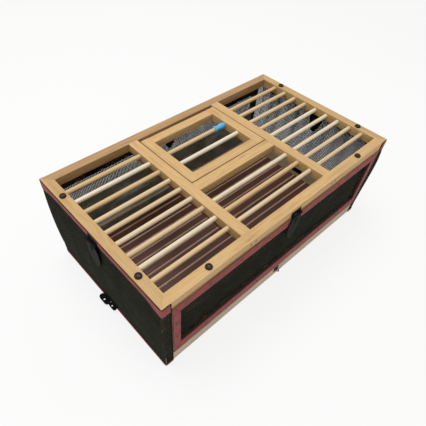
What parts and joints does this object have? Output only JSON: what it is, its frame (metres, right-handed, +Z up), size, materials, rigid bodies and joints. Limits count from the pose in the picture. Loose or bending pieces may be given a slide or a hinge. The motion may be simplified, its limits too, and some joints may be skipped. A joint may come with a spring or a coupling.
{
  "type": "bird transport crate",
  "caption": "Low folding wooden crate for racing pigeons with dowel grille top, hinged hatch, inward-folding net side panels, net ends bound in tape, and hasps.",
  "frame": {"origin": "middle of the base's underside", "axes": "+Z up, +X along the long sides towards the bolt's knob, -Y towards the front long side"},
  "size_m": [0.734, 0.4202, 0.2485],
  "materials": {
    "frame_wood": "satin varnish, honey coloured softwood",
    "dowel_wood": "plain pale dowel",
    "base_wood": "bare, a little weathered",
    "batten_wood": "bare softwood",
    "floor_wood": "dark stained and varnished board",
    "net_cloth": "coarse open weave",
    "red_tape": "woven cloth tape",
    "zinc_steel": "dull zinc plating",
    "black_iron": "black enamel",
    "bumper": "dark brown, satin",
    "blue_plastic": "turned, glossy"
  },
  "bodies": {
    "crate": {"top_rail_front": "frame_wood", "base_rail_front": "base_wood", "hasp_leaf_front": "black_iron", "top_rail_back": "frame_wood", "base_rail_back": "base_wood", "hasp_leaf_back": "black_iron", "top_rail_left": "frame_wood", "base_rail_left": "base_wood", "hasp_leaf_left": "black_iron", "top_rail_right": "frame_wood", "base_rail_right": "base_wood", "hasp_leaf_right": "black_iron", "divider_left": "frame_wood", "dowels_left_bay": "dowel_wood", "end_net_left": "net_cloth", "end_binding_left": "red_tape", "end_catch_left": "black_iron", "divider_right": "frame_wood", "dowels_right_bay": "dowel_wood", "end_net_right": "net_cloth", "end_binding_right": "red_tape", "end_catch_right": "black_iron", "cross_member": "frame_wood", "dowels_middle_bay": "dowel_wood", "floor_board": "floor_wood", "frame_screws": "zinc_steel", "bumper_buttons": "bumper", "panel_hinge_pins": "zinc_steel", "hasp_pins": "black_iron", "hasp_screws": "zinc_steel", "base_staples": "zinc_steel", "catch_backing_plates": "black_iron", "front_frame_hinges": "zinc_steel", "back_frame_hinges": "zinc_steel"},
    "front_panel": {"front_panel_top_batten": "batten_wood", "front_panel_bottom_batten": "batten_wood", "front_panel_stiles": "batten_wood", "front_panel_net": "net_cloth", "front_panel_tape": "red_tape", "front_panel_tacks": "zinc_steel", "front_panel_hinge_leaves": "zinc_steel"},
    "back_panel": {"back_panel_top_batten": "batten_wood", "back_panel_bottom_batten": "batten_wood", "back_panel_stiles": "batten_wood", "back_panel_net": "net_cloth", "back_panel_tape": "red_tape", "back_panel_tacks": "zinc_steel", "back_panel_hinge_leaves": "zinc_steel"},
    "hatch": {"hatch_rail_left": "frame_wood", "hatch_rail_right": "frame_wood", "hatch_rail_front": "frame_wood", "hatch_rail_back": "frame_wood", "hatch_bar": "dowel_wood", "hatch_pins": "zinc_steel"},
    "bolt": {"hatch_bolt": "dowel_wood", "bolt_knob": "blue_plastic"},
    "flap_front": {"hasp_flap_front": "black_iron"},
    "flap_back": {"hasp_flap_back": "black_iron"},
    "flap_left": {"hasp_flap_left": "black_iron"},
    "flap_right": {"hasp_flap_right": "black_iron"}
  },
  "joints": [
    {"name": "front_panel_fold", "type": "hinge", "parent": "crate", "child": "front_panel", "pos_m": [0, -0.1895, 0.222], "axis": [1, 0, 0], "range_deg": [0, 88]},
    {"name": "back_panel_fold", "type": "hinge", "parent": "crate", "child": "back_panel", "pos_m": [0, 0.1895, 0.222], "axis": [-1, 0, 0], "range_deg": [0, 88]},
    {"name": "hatch_lid", "type": "hinge", "parent": "crate", "child": "hatch", "pos_m": [0, -0.0005, 0.241], "axis": [1, 0, 0], "range_deg": [0, 110]},
    {"name": "bolt_slide", "type": "slide", "parent": "hatch", "child": "bolt", "axis": [-1, 0, 0], "range_m": [0, 0.013]},
    {"name": "flap_front_swing", "type": "hinge", "parent": "crate", "child": "flap_front", "pos_m": [0, -0.205, 0.2245], "axis": [-1, 0, 0], "range_deg": [0, 165]},
    {"name": "flap_back_swing", "type": "hinge", "parent": "crate", "child": "flap_back", "pos_m": [0, 0.205, 0.2245], "axis": [1, 0, 0], "range_deg": [0, 165]},
    {"name": "flap_left_swing", "type": "hinge", "parent": "crate", "child": "flap_left", "pos_m": [-0.3568, 0, 0.231], "axis": [0, 1, 0], "range_deg": [0, 165]},
    {"name": "flap_right_swing", "type": "hinge", "parent": "crate", "child": "flap_right", "pos_m": [0.3568, 0, 0.231], "axis": [0, -1, 0], "range_deg": [0, 165]}
  ]
}
